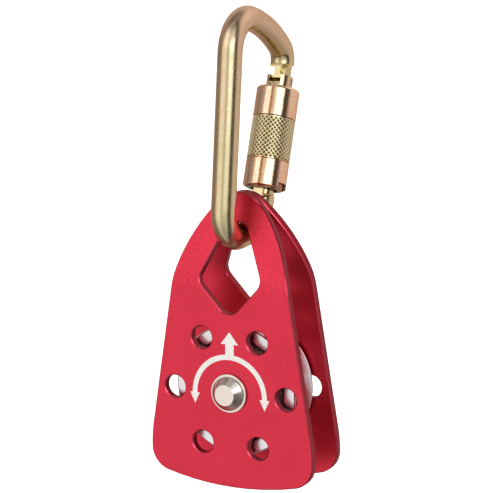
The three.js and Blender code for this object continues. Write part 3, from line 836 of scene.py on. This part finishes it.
def spacers_and_washers():
    for side, place in (("front", TURNED_ROUND @ ALONG_Y), ("rear", ALONG_Y)):
        spacer = [(AXLE_BORE, 4.3, 0.2), (7.3, 4.3, 0.2), (7.3, 9.6, 0.3), (AXLE_BORE, 9.6, 0.2)]
        washer = [(AXLE_BORE, 9.9, 0.1), (9.9, 9.9, 0.25), (9.9, 10.7, 0.25), (AXLE_BORE, 10.7, 0.1)]
        shield = [(8.1, 3.5, 0.1), (10.2, 3.5, 0.1), (10.2, 3.9, 0.1), (8.1, 3.9, 0.1)]
        name = f"{side}_spacer"
        ring_piece(name, "axle", STEEL, spacer, place, [name])
        name = f"{side}_thrust_washer"
        ring_piece(name, "axle", NYLON, washer, place, [name])
        name = f"{side}_bearing_shield"
        ring_piece(name, "sheave", BRIGHT, shield, place, [name])


def sheave():
    """The rope sheave: a round groove, a thin rim, and flanks that thin towards the bore."""
    half = [
        (13.3, 5.5, 0.3),
        (19.0, 6.4, 6.0),
        (24.0, 9.2, 4.0),
        (29.4, 9.5, 0.35),
        (SHEAVE_RADIUS, 9.0, 0.25),
        (SHEAVE_RADIUS, 8.4, 0.3),
    ]
    groove = [(r, h, 0) for r, h in arc((GROOVE_CENTRE, 0), GROOVE_RADIUS, 100.8, 259.2, 5)]
    far = [(r, -h, f) for r, h, f in reversed(half)]
    bm = lathe(filleted([*half, *groove, *far], closed=True), ALONG_Y, 160, closed=True)
    finish_piece(object_of(bm), "sheave_looks", "sheave", [ALLOY], ["sheave"], 28)


# ---- Carabiner body ----------------------------------------------------------------------------


def bar_route():
    """The bar's centre line in Y and Z, from the hinge fork round to the nose."""
    up = Vector((sin(GATE_LEAN), cos(GATE_LEAN)))
    pin = Vector((HINGE.y, HINGE.z))
    first = pin + up * FORK_RADIUS
    last = pin + up * NOSE_END
    corners = [(*first, 0), HINGE_CORNER, SPINE_FOOT, SPINE_TOP, CROWN, NOSE_CORNER, (*last, 0)]
    route = [corners[0][:2]]
    for before, (y, z, radius), after in zip(corners, corners[1:], corners[2:]):
        route += fillet(before[:2], (y, z), after[:2], radius, 3.0)
    route.append(corners[-1][:2])
    return route


def swept_bar(route, radius, sides=64):
    bm = bmesh.new()
    rings = []
    for i, (y, z) in enumerate(route):
        before = Vector(route[max(i - 1, 0)])
        after = Vector(route[min(i + 1, len(route) - 1)])
        back = (Vector((y, z)) - before).normalized() if i else (after - before).normalized()
        ahead = (after - Vector((y, z))).normalized() if i < len(route) - 1 else back
        tangent = (back + ahead).normalized()
        across = Vector((0, -tangent.y, tangent.x))
        ring = []
        for k in range(sides):
            angle = 2 * pi * (k + 0.5) / sides
            offset = Vector((1, 0, 0)) * (radius * cos(angle)) + across * (radius * sin(angle))
            ring.append(bm.verts.new(Vector((0, y, z)) + offset))
        rings.append(ring)
    for low, high in zip(rings, rings[1:]):
        for k in range(sides):
            j = (k + 1) % sides
            bm.faces.new((low[k], low[j], high[j], high[k]))
    bm.faces.new(rings[0][::-1])
    bm.faces.new(rings[-1])
    bmesh.ops.recalc_face_normals(bm, faces=bm.faces)
    return bm


def carabiner_body():
    wide = (-10, 10)
    slot = block((-SLOT_HALF, SLOT_HALF), wide, (FORK_FLOOR, 12), ON_GATE)
    cheeks = solid_of(carve(block(wide, wide, (0, 12)), [rod(FORK_RADIUS, -11, 11, ALONG_X, 96)]))
    cheeks.transform(ON_GATE)
    cutters = [slot, cheeks, rod(PIN_RADIUS + 0.05, -8, 8, ON_GATE @ ALONG_X)]
    for side in (-1, 1):
        blade = sorted((side * NOSE_HALF, side * (NOSE_HALF + 8)))
        back = sorted((side * BACK_HALF, side * (BACK_HALF + 8)))
        middle = (side * (NECK_HALF + SCALLOP_RADIUS), 0, SCALLOP_HEIGHT)
        place = ON_GATE @ Matrix.Translation(middle) @ ALONG_Y
        cutters.append(block(blade, wide, (NOSE_END - 2, NOSE_BLADE), ON_GATE))
        cutters.append(block(blade, (-10, NECK_DEPTH), (NOSE_BLADE - 1, SCALLOP_HEIGHT), ON_GATE))
        cutters.append(rod(SCALLOP_RADIUS, -10, NECK_DEPTH, place))
        tilt = Matrix.Translation((0, 0, NOSE_STEP)) @ Matrix.Rotation(radians(BACK_TILT), 4, "X")
        cutters.append(block(back, wide, (-14, 0), ON_GATE @ tilt))
    cutters.append(block(wide, (-10, NOSE_INNER), (NOSE_END - 2, NOSE_STEP), ON_GATE))
    clear = LATCH_RADIUS + GAP
    notch = (LATCH_HEIGHT - clear, LATCH_HEIGHT + clear)
    cutters.append(block(wide, (-10, clear), notch, ON_GATE))
    shape = round_edges(carve(swept_bar(bar_route(), BAR_RADIUS), cutters), 0.3, 3)
    finish_piece(shape, "carabiner_body_looks", "carabiner", [ZINC], ["carabiner_body"], 40)


# ---- Gate --------------------------------------------------------------------------------------


def gate_bar():
    wide = (-10, 10)
    below = solid_of(carve(block(wide, wide, (-10, 0)), [rod(TONGUE_ROUND, -11, 11, ALONG_X, 96)]))
    tongue = block((-TONGUE_HALF, TONGUE_HALF), wide, (-10, 30))
    neck_zone = block(wide, wide, (SHOULDER - 0.5, NECK_TOP))
    round_neck = solid_of(carve(neck_zone, [rod(NECK_RADIUS, -10, 30, segments=64), tongue]))
    cutters = [
        block((TONGUE_HALF, 10), wide, (-10, SHOULDER)),
        block((-10, -TONGUE_HALF), wide, (-10, SHOULDER)),
        block(wide, (-10, TONGUE_FLAT), (-10, NECK_TOP)),
        round_neck,
        below,
        rod(PIN_RADIUS + 0.05, -8, 8, ALONG_X),
        block((-SLOT_HALF, SLOT_HALF), wide, (GATE_FORK_FLOOR, GATE_TOP + 1)),
        rod(LATCH_RADIUS + 0.05, -8, 8, Matrix.Translation((0, 0, LATCH_HEIGHT)) @ ALONG_X),
        rod(PUSHER_BORE, -10, 12, Matrix.Translation((0, PUSHER_OFFSET, 0)), 24),
    ]
    shape = round_edges(carve(rod(GATE_RADIUS, -TONGUE_ROUND, GATE_TOP, segments=64), cutters), 0.3, 3)
    shape.data.transform(ON_GATE)
    finish_piece(shape, "gate_bar_looks", "gate", [ZINC_MACHINED], ["gate_bar"], 40)


def coil_spring(name, body, radius, wire_radius, low, high, turns, place):
    """A coil of round wire between two heights."""
    steps, sides = turns * 24, 10
    bm = bmesh.new()
    rings = []
    for i in range(steps + 1):
        angle = 2 * pi * turns * i / steps
        height = low + (high - low) * i / steps
        out = Vector((cos(angle), sin(angle), 0))
        middle = out * radius + Vector((0, 0, height))
        around = [2 * pi * k / sides for k in range(sides)]
        section = [(wire_radius * cos(a), wire_radius * sin(a)) for a in around]
        ring = [middle + out * x + Vector((0, 0, y)) for x, y in section]
        rings.append([bm.verts.new(point) for point in ring])
    for before, after in zip(rings, rings[1:]):
        for k in range(sides):
            bm.faces.new((before[k - 1], before[k], after[k], after[k - 1]))
    bm.faces.new(rings[0])
    bm.faces.new(rings[-1][::-1])
    bmesh.ops.recalc_face_normals(bm, faces=bm.faces)
    bm.transform(place)
    return finish_piece(object_of(bm), f"{name}_looks", body, [SPRING], [name])


def gate_spring():
    """The coil over the pusher, built at one fixed length."""
    place = ON_GATE @ Matrix.Translation((0, PUSHER_OFFSET, 0))
    size = (COIL_RADIUS, COIL_WIRE, COIL_FROM, COIL_TO, COIL_TURNS)
    spring = coil_spring("gate_spring", "gate", *size, place)
    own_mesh(spring)


def cross_pin(name, body, radius, half, height):
    """A pin across the gate, with domed ends."""
    dome = radius * 0.35
    corners = [(0, -half, 0), (radius, -half, dome), (radius, half, dome), (0, half, 0)]
    place = ON_GATE @ Matrix.Translation((0, 0, height)) @ ALONG_X
    shape = object_of(lathe(filleted(corners), place, 48))
    finish_piece(shape, f"{name}_looks", body, [PIN_STEEL], [name])


# ---- Locking sleeve ----------------------------------------------------------------------------


def sleeve_shell():
    """The turned sleeve with rounded rims, without its knurl."""
    under = SLEEVE_RADIUS - KNURL_DEPTH - 0.05
    corners = [
        (SLEEVE_CHAMBER, SLEEVE_BOTTOM, 0.1),
        (SLEEVE_RADIUS, SLEEVE_BOTTOM, 0.8),
        (SLEEVE_RADIUS, KNURL_FROM - 0.4, 0.12),
        (under, KNURL_FROM, 0.05),
        (under, KNURL_TO, 0.05),
        (SLEEVE_RADIUS, KNURL_TO + 0.4, 0.12),
        (SLEEVE_RADIUS, SLEEVE_TOP, 1.5),
        (SLEEVE_BORE, SLEEVE_TOP, 0.3),
        (SLEEVE_BORE, SLEEVE_TOP - SLEEVE_COLLAR, 0.1),
        (SLEEVE_CHAMBER, SLEEVE_TOP - SLEEVE_COLLAR, 0),
    ]
    shell = lathe(filleted(corners, closed=True), Matrix(), 128, closed=True)
    across = (-SLEEVE_SLOT_HALF, SLEEVE_SLOT_HALF)
    nose_slot = block((-12, 0), across, (SLEEVE_TOP - NOSE_SLOT, SLEEVE_TOP + 1))
    hinge_slot = block((0, 12), across, (SLEEVE_BOTTOM - 1, SLEEVE_BOTTOM + HINGE_SLOT))
    return carve(shell, [nose_slot, hinge_slot])


def knurl_band(bm):
    """A raised lattice of crossed ridges with a pit in each diamond, wrapped round the sleeve."""
    column = 2 * pi / KNURL_COLUMNS
    row = (KNURL_TO - KNURL_FROM) / KNURL_ROWS
    shares = (1.0, 0.80, 0.58, 0.30)
    depths = (0.0, 0.04, 0.28, KNURL_DEPTH)
    levels = [(share, SLEEVE_RADIUS - depth) for share, depth in zip(shares, depths)]

    def at(u, v, radius):
        angle = u * column
        return bm.verts.new((radius * cos(angle), radius * sin(angle), KNURL_FROM + v * row))

    for j in range(1, 2 * KNURL_ROWS):
        for i in range(KNURL_COLUMNS):
            u, v = i + 0.5 * (j % 2), j / 2
            ways = ((0.5, 0), (0, 0.5), (-0.5, 0), (0, -0.5))
            rings = [[at(u + du * k, v + dv * k, r) for du, dv in ways] for k, r in levels]
            for depth, (outer, inner) in enumerate(zip(rings, rings[1:])):
                for k in range(4):
                    face = bm.faces.new((outer[k - 1], outer[k], inner[k], inner[k - 1]))
                    # The two outer steps of each pit take the paler ridge colour (painted highlight). The
                    # deeper steps and the floor take the dark pit colour (painted shade).
                    face.material_index = 1 if depth < 2 else 2
            floor = bm.faces.new(rings[-1])
            floor.material_index = 2
    return bm


def locking_sleeve():
    bm = knurl_band(solid_of(tidy_faces(sleeve_shell())))
    bm.transform(ON_GATE)
    shape = object_of(bm)
    materials, nodes = [GOLD, KNURL, KNURL_PIT_SHADE], ["locking_sleeve"]
    finish_piece(shape, "locking_sleeve_looks", "sleeve", materials, nodes, 30)


def sleeve_bush():
    bottom, top = SLEEVE_BOTTOM - 0.6, SLEEVE_BOTTOM + 5.5
    corners = [(6.3, bottom, 0.2), (8.3, bottom, 0.35), (8.3, top, 0.1), (6.3, top, 0.1)]
    ring_piece("sleeve_bush", "sleeve", BRONZE, corners, ON_GATE, ["sleeve_bush"])


# ---- CAD nodes that stay -----------------------------------------------------------------------


def paint_kept_nodes():
    """Materials for the inner CAD nodes, whose shapes are already right."""
    finishes = {"ball": BRIGHT, "race": BRIGHT, "spring": SPRING, "pusher": SPRING}
    for name, node in frame["nodes"].items():
        if node.hide_render:
            continue
        finish = next((metal for word, metal in finishes.items() if word in name), PIN_STEEL)
        for slot in node.material_slots:
            slot.link = "OBJECT"
            slot.material = finish


# ---- Studio ------------------------------------------------------------------------------------

CAMERA_AZIMUTH = 27.71
CAMERA_ELEVATION = 10.18
CAMERA_ROLL = -0.58
CAMERA_DISTANCE = 765.5
LENS = 124.62
AIM_ACROSS, AIM_UP = 1.344, 64.20


def add_camera():
    """Camera to the right of the front plate and slightly above the axle."""
    azimuth, elevation = radians(CAMERA_AZIMUTH), radians(CAMERA_ELEVATION)
    back = Vector((sin(azimuth) * cos(elevation), -cos(azimuth) * cos(elevation), sin(elevation)))
    right = Vector((cos(azimuth), sin(azimuth), 0))
    aim = right * AIM_ACROSS + Vector((0, 0, AIM_UP))
    data = bpy.data.cameras.new("camera")
    data.lens = LENS
    data.sensor_width = 36.0
    camera = bpy.data.objects.new("camera", data)
    bpy.context.scene.collection.objects.link(camera)
    roll = Matrix.Rotation(radians(CAMERA_ROLL), 3, "Z").to_quaternion()
    camera.rotation_mode = "QUATERNION"
    camera.rotation_quaternion = (-back).to_track_quat("-Z", "Y") @ roll
    camera.location = TO_MODEL @ (aim + back * CAMERA_DISTANCE)
    bpy.context.scene.camera = camera


def add_floor():
    lowest = cad_box[0].z - 0.10
    bm = bmesh.new()
    bmesh.ops.create_circle(bm, cap_ends=True, segments=96, radius=6.0)
    floor = object_of(bm, "floor")
    floor.location.z = lowest
    material = bpy.data.materials.new("floor_white")
    material.use_nodes = True
    surface = material.node_tree.nodes["Principled BSDF"]
    surface.inputs["Base Color"].default_value = (0.93, 0.93, 0.93, 1)
    surface.inputs["Roughness"].default_value = 0.9
    surface.inputs["Specular IOR Level"].default_value = 0.0
    floor.data.materials.append(material)
    floor.visible_glossy = False


# Light of the studio round the object: degrees to the camera's right, brightness and warmth.
STUDIO_ROUND = [
    (-180, 0.55, 0.9),
    (-110, 0.27, 1.0),
    (-80, 0.40, 1.0),
    (-70, 1.10, 0.4),
    (-30, 1.15, 0.2),
    (-24, 0.60, 0.6),
    (-14, 0.65, 0.3),
    (-8, 0.80, 0.0),
    (0, 0.80, 0.0),
    (30, 0.85, 0.0),
    (38, 0.08, 1.0),
    (62, 0.08, 1.0),
    (80, 0.78, 1.0),
    (120, 0.74, 1.0),
    (180, 0.55, 0.9),
]
# The same over elevation: share of the brightness round about at that height.
STUDIO_UP = [
    (-90, 0.50),
    (-45, 0.65),
    (-18, 1.0),
    (15, 1.05),
    (22, 1.3),
    (50, 1.3),
    (64, 0.45),
    (90, 0.55),
]
STUDIO_PEAK = 1.5
STUDIO_COOL, STUDIO_WARM = (1.0, 0.985, 0.96), (1.0, 0.80, 0.76)
SOFTBOX_AZIMUTH, SOFTBOX_ELEVATION, SOFTBOX_DISTANCE = 47, 22, 2.0
SOFTBOX_SIZE = (1.45, 1.0)
SOFTBOX_POWER = 6.0


def add_world():
    """Soft studio surroundings: broad panels in front, low light all round, dark above."""
    world = bpy.data.worlds.new("studio")
    bpy.context.scene.world = world
    world.use_nodes = True
    tree = world.node_tree
    direction = add(tree, "ShaderNodeTexCoord").outputs["Generated"]
    turned = add(tree, "ShaderNodeMapping", {"Vector": direction})
    turned.inputs["Rotation"].default_value = (0, 0, -radians(CAMERA_AZIMUTH))
    parts = add(tree, "ShaderNodeSeparateXYZ", {"Vector": turned.outputs["Vector"]})
    front = add(tree, "ShaderNodeMath", {0: parts.outputs["Y"], 1: -1.0}, operation="MULTIPLY")
    angle = add(tree, "ShaderNodeMath", {0: parts.outputs["X"], 1: front.outputs[0]}, operation="ARCTAN2")
    turn = {0: angle.outputs[0], 1: 1 / (2 * pi), 2: 0.5}
    share = add(tree, "ShaderNodeMath", turn, operation="MULTIPLY_ADD")
    stops = [((a + 180) / 360, (b / STUDIO_PEAK,) * 3) for a, b, _ in STUDIO_ROUND]
    around = ramp(tree, share.outputs[0], stops)
    stops = [((a + 180) / 360, (warmth,) * 3) for a, _, warmth in STUDIO_ROUND]
    colour = mixed(tree, ramp(tree, share.outputs[0], stops), STUDIO_COOL, STUDIO_WARM)
    height = add(tree, "ShaderNodeMath", {0: parts.outputs["Z"]}, operation="ARCSINE")
    rise = {0: height.outputs[0], 1: 1 / pi, 2: 0.5}
    share = add(tree, "ShaderNodeMath", rise, operation="MULTIPLY_ADD")
    stops = [((e + 90) / 180, (b,) * 3) for e, b in STUDIO_UP]
    over = ramp(tree, share.outputs[0], stops)
    both = add(tree, "ShaderNodeMath", {0: around, 1: over}, operation="MULTIPLY")
    strength = add(tree, "ShaderNodeMath", {0: both.outputs[0], 1: STUDIO_PEAK}, operation="MULTIPLY")
    studio = tree.nodes["Background"]
    tree.links.new(strength.outputs[0], studio.inputs["Strength"])
    tree.links.new(colour, studio.inputs["Color"])
    plain = add(tree, "ShaderNodeBackground", {"Color": (1.0, 1.0, 1.0, 1.0)})
    seen = add(tree, "ShaderNodeLightPath").outputs["Is Camera Ray"]
    either = add(tree, "ShaderNodeMixShader", {0: seen, 1: studio.outputs[0], 2: plain.outputs[0]})
    tree.links.new(either.outputs[0], tree.nodes["World Output"].inputs["Surface"])


def add_lamp(kind, name, place, power, mirrored=False, **settings):
    """A lamp that looks at the axle. The metal shows its reflection only if it is mirrored."""
    data = bpy.data.lights.new(name, kind)
    data.energy = power
    for key, value in settings.items():
        setattr(data, key, value)
    lamp = bpy.data.objects.new(name, data)
    bpy.context.scene.collection.objects.link(lamp)
    lamp.location = place
    lamp.rotation_mode = "QUATERNION"
    lamp.rotation_quaternion = (AXLE_CENTRE - lamp.location).to_track_quat("-Z", "Y")
    lamp.visible_glossy = mirrored
    lamp.visible_camera = False


def add_studio():
    add_floor()
    add_world()
    add_lamp("AREA", "overhead", Vector((0.2, -0.3, 1.6)), 26, shape="DISK", size=1.6)
    add_lamp("SUN", "daylight", Vector((0.1, -0.2, 2.0)), 2.6, angle=radians(60))
    azimuth, elevation = radians(SOFTBOX_AZIMUTH), radians(SOFTBOX_ELEVATION)
    way = Vector((sin(azimuth) * cos(elevation), -cos(azimuth) * cos(elevation), sin(elevation)))
    place = AXLE_CENTRE + way * SOFTBOX_DISTANCE
    size = {"shape": "RECTANGLE", "size": SOFTBOX_SIZE[0], "size_y": SOFTBOX_SIZE[1]}
    add_lamp("AREA", "softbox", place, SOFTBOX_POWER, mirrored=True, **size)
    bpy.context.scene.view_settings.view_transform = "Standard"


# ---- Build -------------------------------------------------------------------------------------

add_camera()
side_plate("front_side_plate", "front_plate", Matrix())
side_plate("rear_side_plate", "rear_plate", TURNED_ROUND)
load_arrows()
plate_bush("front")
plate_bush("rear")
axle()
axle_screw()
spacers_and_washers()
sheave()
carabiner_body()
gate_bar()
cross_pin("gate_hinge_pin", "carabiner", PIN_RADIUS, PIN_HALF, 0)
cross_pin("latch_pin", "gate", LATCH_RADIUS, LATCH_HALF, LATCH_HEIGHT)
locking_sleeve()
sleeve_bush()
gate_spring()
paint_kept_nodes()
add_studio()
